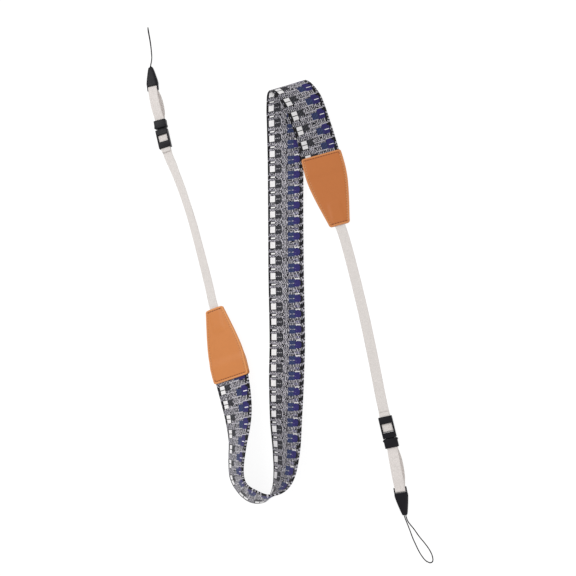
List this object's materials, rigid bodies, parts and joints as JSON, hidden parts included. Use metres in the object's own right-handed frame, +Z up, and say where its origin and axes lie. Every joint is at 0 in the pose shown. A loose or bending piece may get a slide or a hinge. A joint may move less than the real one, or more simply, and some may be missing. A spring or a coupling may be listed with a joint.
{
  "type": "camera neck strap",
  "caption": "Camera neck strap with a patterned woven band, leather end tabs, narrow webbings, quick-release buckles and thin cord loops, laid loosely on a surface.",
  "frame": {"origin": "on the surface it lies on, below the middle of the strap's outline with the cord loops left out", "axes": "+Y along the band's long run, from its lower turn to its fold; +Z up, away from the surface it lies on; the end named left is at -X"},
  "size_m": [0.2935, 0.5452, 0.0359],
  "materials": {
    "woven_cloth": "jacquard weave in white, greys, slate blue and indigo, black at the edges",
    "tan_leather": "smooth tan leather, semi-matte",
    "ivory_webbing": "flat woven webbing, matte",
    "black_plastic": "moulded black plastic, satin",
    "black_cord": "thin braided cord"
  },
  "bodies": {
    "root": {"woven_band": "woven_cloth", "tab_left_front": "tan_leather", "tab_left_back": "tan_leather", "tab_right_front": "tan_leather", "tab_right_back": "tan_leather", "webbing_left": "ivory_webbing", "webbing_right": "ivory_webbing", "buckle_frame_left": "black_plastic", "buckle_frame_right": "black_plastic", "buckle_plug_left": "black_plastic", "buckle_plug_right": "black_plastic", "loop_left": "ivory_webbing", "loop_right": "ivory_webbing", "connector_left": "black_plastic", "connector_right": "black_plastic", "cord_left": "black_cord", "cord_right": "black_cord"}
  },
  "joints": []
}
